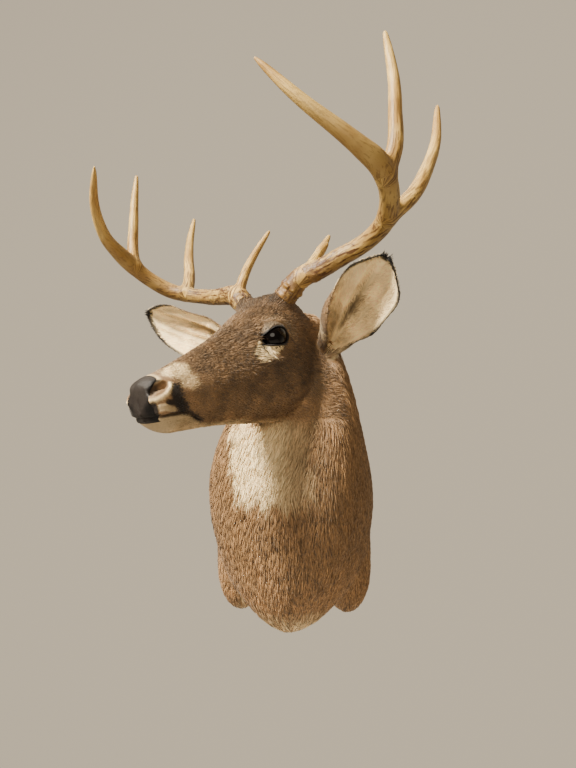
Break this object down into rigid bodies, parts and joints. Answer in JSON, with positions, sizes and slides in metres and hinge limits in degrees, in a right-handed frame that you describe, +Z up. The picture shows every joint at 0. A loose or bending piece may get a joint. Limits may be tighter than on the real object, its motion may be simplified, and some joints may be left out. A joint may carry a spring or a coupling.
{
  "type": "deer shoulder mount",
  "caption": "White-tailed buck's head, neck and shoulders mounted for a wall, head turned to its right, on an oval backboard that hangs from a steel plate.",
  "frame": {"origin": "middle of the backboard's face on the wall", "axes": "+Z up; -Y out from the wall into the room; +X towards the deer's left shoulder, which is to the right for someone facing the wall"},
  "size_m": [0.505, 0.5452, 0.7689],
  "materials": {
    "coat": "short, dense deer hair, brown with white throat, chin, eye ring and ear linings",
    "nose_leather": "bare black skin, slightly moist sheen",
    "glass_eye": "polished dark brown glass, opaque",
    "antler_bone": "hard antler bone, satin, ivory at the tips and brown-stained in the grooves",
    "plywood": "raw plywood",
    "steel": "zinc-plated sheet"
  },
  "bodies": {
    "root": {"head": "coat", "lower_jaw": "coat", "neck": "coat", "chest": "coat", "shoulder_left": "coat", "shoulder_right": "coat", "ear_left": "coat", "ear_right": "coat", "nose_pad": "nose_leather", "eye_left": "glass_eye", "eye_right": "glass_eye", "antler_left_beam_lower": "antler_bone", "antler_left_beam_middle": "antler_bone", "antler_left_beam_tip": "antler_bone", "antler_left_brow_tine": "antler_bone", "antler_left_second_tine": "antler_bone", "antler_left_third_tine": "antler_bone", "antler_right_beam_lower": "antler_bone", "antler_right_beam_middle": "antler_bone", "antler_right_beam_tip": "antler_bone", "antler_right_brow_tine": "antler_bone", "antler_right_second_tine": "antler_bone", "antler_right_third_tine": "antler_bone", "backboard": "plywood", "hanger_plate": "steel"}
  },
  "joints": []
}
